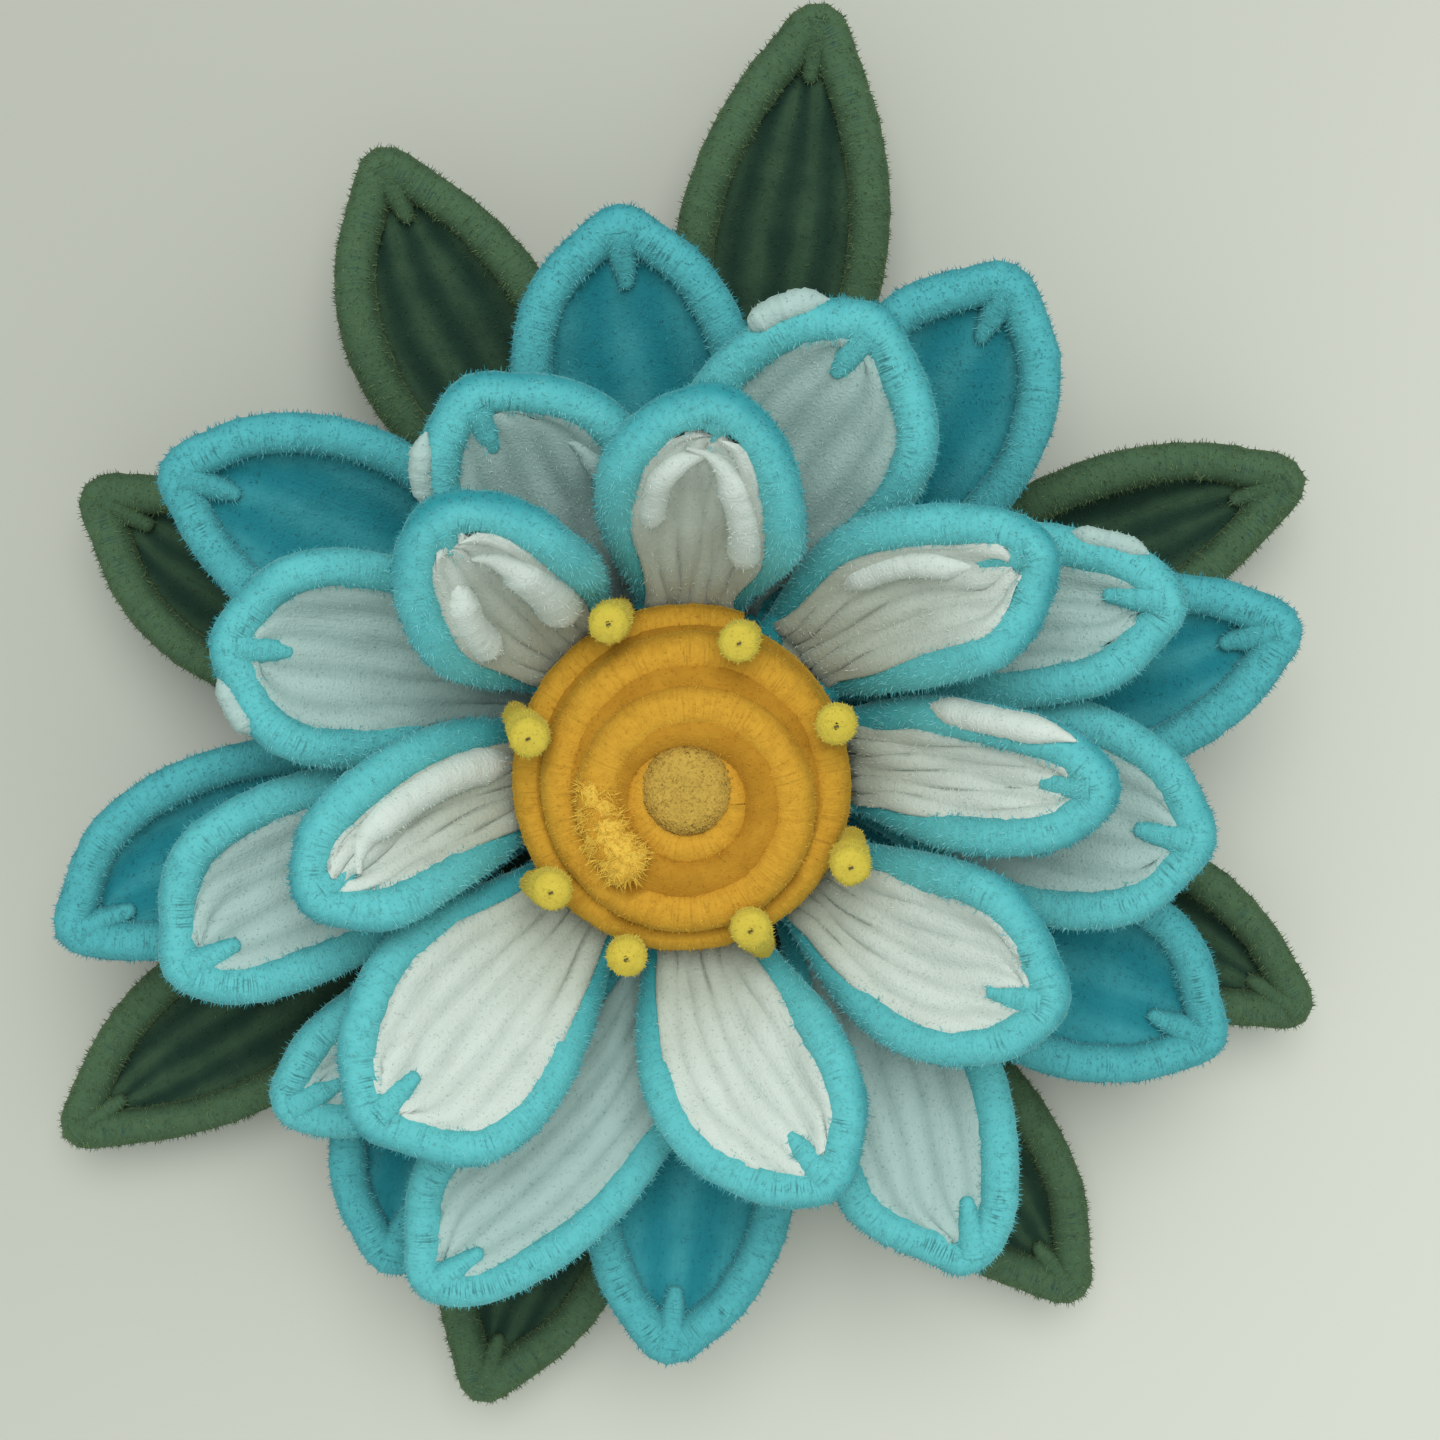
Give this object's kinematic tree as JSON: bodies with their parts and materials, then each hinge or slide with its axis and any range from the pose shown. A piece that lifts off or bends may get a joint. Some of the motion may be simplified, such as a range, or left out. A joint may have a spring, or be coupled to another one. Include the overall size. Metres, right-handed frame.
{
  "type": "chenille stem water lily flower",
  "caption": "Water lily flower bent from chenille stems: green leaves, teal and white looped petals in rings, yellow stamens and a domed golden spiral centre",
  "frame": {"origin": "centre of the hub's flat foot, on the surface that the flower lies on", "axes": "+Z out of the flower's face, from the foot to the stamens; +Y towards the longest leaf; +X to the right as seen from the front"},
  "size_m": [0.1728, 0.1888, 0.0588],
  "materials": {
    "green_pile": "matt cut pile on a wire core, dark leaf green",
    "deep_teal_pile": "matt cut pile on a wire core, deep teal",
    "teal_pile": "matt cut pile on a wire core, turquoise",
    "white_pile": "matt cut pile on a wire core, white",
    "golden_pile": "matt cut pile on a wire core, golden orange",
    "straw_pile": "flattened straw coloured pile",
    "yellow_pile": "matt cut pile on a wire core, pale yellow"
  },
  "bodies": {
    "root": {"hub": "green_pile", "leaf_1": "green_pile", "leaf_2": "green_pile", "leaf_3": "green_pile", "leaf_4": "green_pile", "leaf_5": "green_pile", "leaf_6": "green_pile", "leaf_7": "green_pile", "leaf_8": "green_pile", "outer_petal_1": "deep_teal_pile", "outer_petal_2": "deep_teal_pile", "outer_petal_3": "deep_teal_pile", "outer_petal_4": "deep_teal_pile", "outer_petal_5": "deep_teal_pile", "outer_petal_6": "deep_teal_pile", "outer_petal_7": "deep_teal_pile", "outer_petal_8": "deep_teal_pile", "middle_rim_1": "teal_pile", "middle_rim_2": "teal_pile", "middle_rim_3": "teal_pile", "middle_rim_4": "teal_pile", "middle_rim_5": "teal_pile", "middle_rim_6": "teal_pile", "middle_rim_7": "teal_pile", "middle_rim_8": "teal_pile", "middle_rim_9": "teal_pile", "middle_fill_1": "white_pile", "middle_fill_2": "white_pile", "middle_fill_3": "white_pile", "middle_fill_4": "white_pile", "middle_fill_5": "white_pile", "middle_fill_6": "white_pile", "middle_fill_8": "white_pile", "middle_fill_9": "white_pile", "inner_rim_1": "teal_pile", "inner_rim_2": "teal_pile", "inner_rim_3": "teal_pile", "inner_rim_4": "teal_pile", "inner_rim_5": "teal_pile", "inner_rim_6": "teal_pile", "inner_rim_7": "teal_pile", "inner_rim_8": "teal_pile", "inner_fill_1": "white_pile", "inner_fill_2": "white_pile", "inner_fill_3": "white_pile", "inner_fill_4": "white_pile", "inner_fill_5": "white_pile", "inner_fill_6": "white_pile", "inner_fill_7": "white_pile", "inner_fill_8": "white_pile", "centre_coil": "golden_pile", "centre_button": "straw_pile", "stamen_1": "yellow_pile", "stamen_2": "yellow_pile", "stamen_3": "yellow_pile", "stamen_4": "yellow_pile", "stamen_5": "yellow_pile", "stamen_6": "yellow_pile", "stamen_7": "yellow_pile", "stamen_8": "yellow_pile"}
  },
  "joints": []
}
